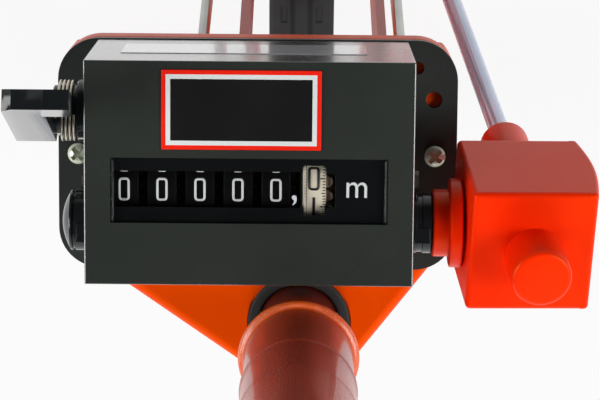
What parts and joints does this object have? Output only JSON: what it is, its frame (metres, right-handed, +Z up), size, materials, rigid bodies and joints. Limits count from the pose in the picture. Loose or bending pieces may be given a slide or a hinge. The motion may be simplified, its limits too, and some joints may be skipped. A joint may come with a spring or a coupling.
{
  "type": "measuring wheel",
  "caption": "Walking distance wheel with a mechanical digit counter, reset lever, bevel gear drive by a side rod, folding pole and wire kickstand",
  "frame": {"origin": "centre of the footprint, on the ground under the wheel and the kickstand", "axes": "+Z up, +X to the right of the user who walks behind the wheel, +Y forward"},
  "size_m": [0.1684, 0.6228, 1.0172],
  "materials": {
    "orange_plastic": "glossy moulded orange plastic",
    "orange_paint": "orange-red enamel on steel",
    "red_tube": "dark red painted aluminium tube",
    "black_tube": "black painted aluminium tube",
    "black_plastic": "fine-grained black plastic",
    "black_plate": "black enamel on a steel plate",
    "black_gloss": "glossy black plastic",
    "tyre": "solid black tyre",
    "rubber": "black rubber",
    "steel": "zinc-plated steel",
    "fold_metal": "bare aluminium",
    "dark_chrome": "polished rod",
    "brass": "brass",
    "cream_plastic": "cream plastic",
    "label_red": "printed plate with a red border",
    "clear_plastic": "clear acrylic pane"
  },
  "bodies": {
    "frame": {"axle_bush_left": "brass", "axle_bush_right": "brass", "fork_arm_left": "orange_paint", "fork_arm_right": "orange_paint", "fork_bolt": "steel", "pole_bolt": "steel", "hub_gearbox": "orange_plastic", "head_gearbox_body": "orange_plastic", "head_gearbox_cover": "orange_plastic", "gearbox_ring": "orange_plastic", "bearing_cap_left": "black_gloss", "bearing_cap_right": "black_gloss", "counter_cover": "black_plastic", "label_plate": "label_red", "window_panel": "black_gloss", "window_lens": "clear_plastic", "counter_frame": "steel", "digit_shaft": "steel", "pinion_shaft": "steel", "mounting_plate": "black_plate", "plate_screw_left": "steel", "plate_screw_right": "steel", "housing": "orange_plastic", "pole_bush": "rubber", "lower_tube": "red_tube", "fold_socket": "fold_metal", "fold_pin": "steel"},
    "wheel": {"tyre": "tyre", "wheel_rim": "orange_plastic", "axle": "steel", "axle_nut": "steel", "axle_spacer_left": "steel", "axle_bevel_gear": "brass"},
    "rod": {"rod_lower_gear": "brass", "drive_rod": "dark_chrome", "rod_upper_gear": "brass"},
    "input": {"counter_bevel_gear": "brass", "input_shaft": "steel", "input_gear": "brass"},
    "reset": {"reset_lever": "black_gloss", "reset_shaft": "steel", "reset_spring": "steel"},
    "stand": {"kickstand": "steel", "kickstand_foot": "rubber"},
    "sleeve": {"lock_sleeve": "orange_plastic"},
    "upper_pole": {"fold_tongue": "fold_metal", "upper_tube": "black_tube", "grip": "rubber"},
    "digit_1": {"digit_wheel_1": "black_plastic"},
    "digit_2": {"digit_wheel_2": "black_plastic"},
    "digit_3": {"digit_wheel_3": "black_plastic"},
    "digit_4": {"digit_wheel_4": "black_plastic"},
    "digit_5": {"digit_wheel_5": "black_plastic"},
    "digit_6": {"digit_wheel_6": "cream_plastic"},
    "carry_1": {"transfer_pinion_1": "cream_plastic"},
    "carry_2": {"transfer_pinion_2": "cream_plastic"},
    "carry_3": {"transfer_pinion_3": "cream_plastic"},
    "carry_4": {"transfer_pinion_4": "cream_plastic"},
    "carry_5": {"transfer_pinion_5": "cream_plastic"}
  },
  "joints": [
    {"name": "wheel_spin", "type": "hinge", "parent": "frame", "child": "wheel", "pos_m": [-0.00159, 0.1526, 0.15881], "axis": [-1, 0, 0], "continuous": true},
    {"name": "rod_spin", "type": "hinge", "parent": "frame", "child": "rod", "pos_m": [0.03491, 0.1526, 0.15881], "axis": [0.0827, -0.4983, 0.8631], "continuous": true},
    {"name": "input_spin", "type": "hinge", "parent": "frame", "child": "input", "pos_m": [-0.00159, -0.0377, 0.48842], "axis": [-1, 0, 0], "continuous": true},
    {"name": "digit_spin_6", "type": "hinge", "parent": "frame", "child": "digit_6", "pos_m": [-0.01609, -0.02598, 0.49289], "axis": [-1, 0, 0], "continuous": true},
    {"name": "digit_spin_5", "type": "hinge", "parent": "frame", "child": "digit_5", "pos_m": [-0.01609, -0.02598, 0.49289], "axis": [-1, 0, 0], "continuous": true},
    {"name": "digit_spin_4", "type": "hinge", "parent": "frame", "child": "digit_4", "pos_m": [-0.01609, -0.02598, 0.49289], "axis": [-1, 0, 0], "continuous": true},
    {"name": "digit_spin_3", "type": "hinge", "parent": "frame", "child": "digit_3", "pos_m": [-0.01609, -0.02598, 0.49289], "axis": [-1, 0, 0], "continuous": true},
    {"name": "digit_spin_2", "type": "hinge", "parent": "frame", "child": "digit_2", "pos_m": [-0.01609, -0.02598, 0.49289], "axis": [-1, 0, 0], "continuous": true},
    {"name": "digit_spin_1", "type": "hinge", "parent": "frame", "child": "digit_1", "pos_m": [-0.01609, -0.02598, 0.49289], "axis": [-1, 0, 0], "continuous": true},
    {"name": "carry_spin_5", "type": "hinge", "parent": "frame", "child": "carry_5", "pos_m": [-0.01609, -0.02228, 0.47807], "axis": [-1, 0, 0], "continuous": true},
    {"name": "carry_spin_4", "type": "hinge", "parent": "frame", "child": "carry_4", "pos_m": [-0.01609, -0.02228, 0.47807], "axis": [-1, 0, 0], "continuous": true},
    {"name": "carry_spin_3", "type": "hinge", "parent": "frame", "child": "carry_3", "pos_m": [-0.01609, -0.02228, 0.47807], "axis": [-1, 0, 0], "continuous": true},
    {"name": "carry_spin_2", "type": "hinge", "parent": "frame", "child": "carry_2", "pos_m": [-0.01609, -0.02228, 0.47807], "axis": [-1, 0, 0], "continuous": true},
    {"name": "carry_spin_1", "type": "hinge", "parent": "frame", "child": "carry_1", "pos_m": [-0.01609, -0.02228, 0.47807], "axis": [-1, 0, 0], "continuous": true},
    {"name": "reset_press", "type": "hinge", "parent": "frame", "child": "reset", "pos_m": [-0.01609, -0.00585, 0.49069], "axis": [1, 0, 0], "range_deg": [0, 40], "stiffness_Nm_per_rad": 0.05, "springref_deg": -20.05, "deforming": ["reset_spring"]},
    {"name": "kickstand_fold", "type": "hinge", "parent": "frame", "child": "stand", "pos_m": [-0.00159, 0.1326, 0.19345], "axis": [-1, 0, 0], "range_deg": [0, 75]},
    {"name": "sleeve_slide", "type": "slide", "parent": "frame", "child": "sleeve", "axis": [0, -0.3746, 0.9272], "range_m": [0, 0.05]},
    {"name": "pole_fold", "type": "hinge", "parent": "frame", "child": "upper_pole", "pos_m": [-0.00159, -0.12998, 0.59934], "axis": [-1, 0, 0], "range_deg": [-120, 0]}
  ],
  "couplings": [
    {"joint": "rod_spin", "follows": "wheel_spin", "ratio": -1},
    {"joint": "input_spin", "follows": "wheel_spin", "ratio": -1},
    {"joint": "digit_spin_6", "follows": "wheel_spin", "ratio": 1},
    {"joint": "digit_spin_5", "follows": "wheel_spin", "ratio": 0.1},
    {"joint": "digit_spin_4", "follows": "wheel_spin", "ratio": 0.01},
    {"joint": "digit_spin_3", "follows": "wheel_spin", "ratio": 0.001},
    {"joint": "digit_spin_2", "follows": "wheel_spin", "ratio": 0.0001},
    {"joint": "digit_spin_1", "follows": "wheel_spin", "ratio": 0.00001},
    {"joint": "carry_spin_5", "follows": "wheel_spin", "ratio": -0.25},
    {"joint": "carry_spin_4", "follows": "wheel_spin", "ratio": -0.025},
    {"joint": "carry_spin_3", "follows": "wheel_spin", "ratio": -0.0025},
    {"joint": "carry_spin_2", "follows": "wheel_spin", "ratio": -0.00025},
    {"joint": "carry_spin_1", "follows": "wheel_spin", "ratio": -0.000025}
  ]
}
